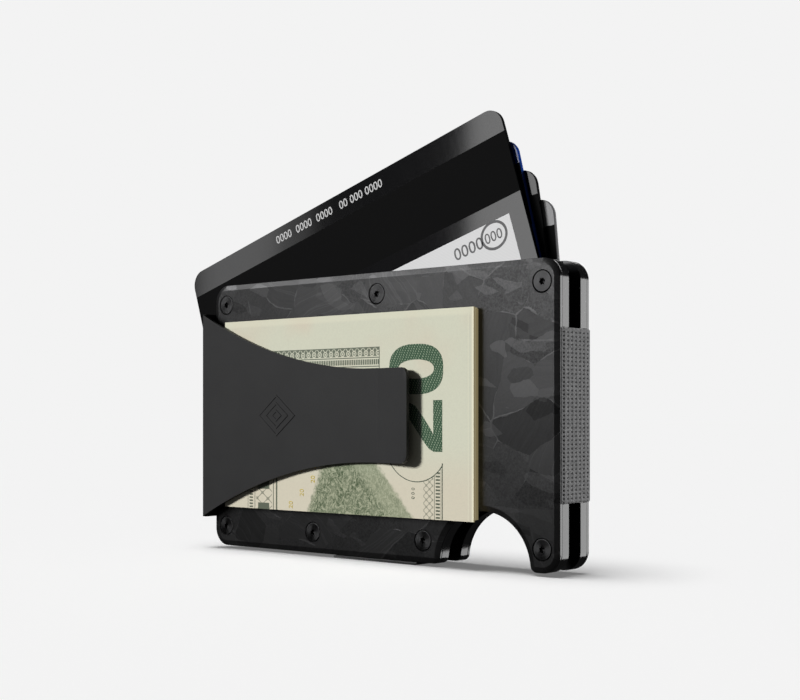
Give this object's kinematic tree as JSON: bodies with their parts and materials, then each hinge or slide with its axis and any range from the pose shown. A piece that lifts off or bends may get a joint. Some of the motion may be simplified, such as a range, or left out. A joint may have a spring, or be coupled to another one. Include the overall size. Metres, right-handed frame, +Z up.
{
  "type": "money clip card wallet",
  "caption": "Slim card wallet of two bevelled plate shells held by elastic bands, with a spring money clip on the front gripping folded banknotes and cards fanned out of the top.",
  "frame": {"origin": "centre of the underside of the bottom elastic band, where the wallet stands", "axes": "+X along the wallet towards the thumb notch, +Y towards the back, +Z up; the money clip is on the -Y side"},
  "size_m": [0.0966, 0.0132, 0.0821],
  "materials": {
    "carbon": "satin forged carbon composite, chips of fibre in different directions",
    "frame_metal": "satin grey anodised edge",
    "screw_steel": "black oxide, turned face",
    "elastic": "woven grey elastic webbing",
    "clip_coat": "fine matt black powder coat",
    "paper": "printed banknote paper, green and cream",
    "card_black": "polished black card with a matt dark stripe",
    "card_blue": "glossy blue card",
    "card_dark": "glossy dark card",
    "card_silver": "satin silver card"
  },
  "bodies": {
    "front_shell": {"front_outer_plate": "carbon", "front_inner_plate": "frame_metal", "front_screw_1": "screw_steel", "front_screw_2": "screw_steel", "front_screw_3": "screw_steel", "front_screw_4": "screw_steel", "front_screw_5": "screw_steel", "front_screw_6": "screw_steel", "front_screw_7": "screw_steel", "clip_base": "clip_coat", "right_elastic": "elastic", "bottom_elastic": "elastic", "left_elastic": "elastic"},
    "rear_shell": {"rear_outer_plate": "carbon", "rear_inner_plate": "frame_metal", "rear_screw_1": "screw_steel", "rear_screw_2": "screw_steel", "rear_screw_3": "screw_steel", "rear_screw_4": "screw_steel", "rear_screw_5": "screw_steel", "rear_screw_6": "screw_steel", "rear_screw_7": "screw_steel"},
    "clip": {"clip_tongue": "clip_coat"},
    "card_1": {"card_1": "card_black"},
    "card_2": {"card_2": "card_blue"},
    "card_3": {"card_3": "card_dark"},
    "card_4": {"card_4": "card_silver"},
    "banknotes": {"banknotes": "paper"}
  },
  "joints": [
    {"name": "clip_open", "type": "hinge", "parent": "front_shell", "child": "clip", "pos_m": [-0.0427, -0.00713, 0.0276], "axis": [0, 0, -1], "range_deg": [0, 8], "stiffness_Nm_per_rad": 1, "springref_deg": -8.59},
    {"name": "shell_spread", "type": "slide", "parent": "front_shell", "child": "rear_shell", "axis": [0, 1, 0], "range_m": [0, 0.006], "stiffness_N_per_m": 1500, "springref_m": -0.003, "deforming": ["right_elastic", "bottom_elastic", "left_elastic"]},
    {"name": "card_1_slide", "type": "slide", "parent": "front_shell", "child": "card_1", "axis": [-0.294, 0, 0.9558], "range_m": [0, 0.055]},
    {"name": "card_2_slide", "type": "slide", "parent": "front_shell", "child": "card_2", "axis": [-0.2368, 0, 0.9715], "range_m": [0, 0.055]},
    {"name": "card_3_slide", "type": "slide", "parent": "front_shell", "child": "card_3", "axis": [-0.1668, 0, 0.986], "range_m": [0, 0.055]},
    {"name": "card_4_slide", "type": "slide", "parent": "front_shell", "child": "card_4", "axis": [-0.0958, 0, 0.9954], "range_m": [0, 0.055]},
    {"name": "banknote_slide", "type": "slide", "parent": "front_shell", "child": "banknotes", "axis": [1, 0, 0], "range_m": [0, 0.055]}
  ]
}
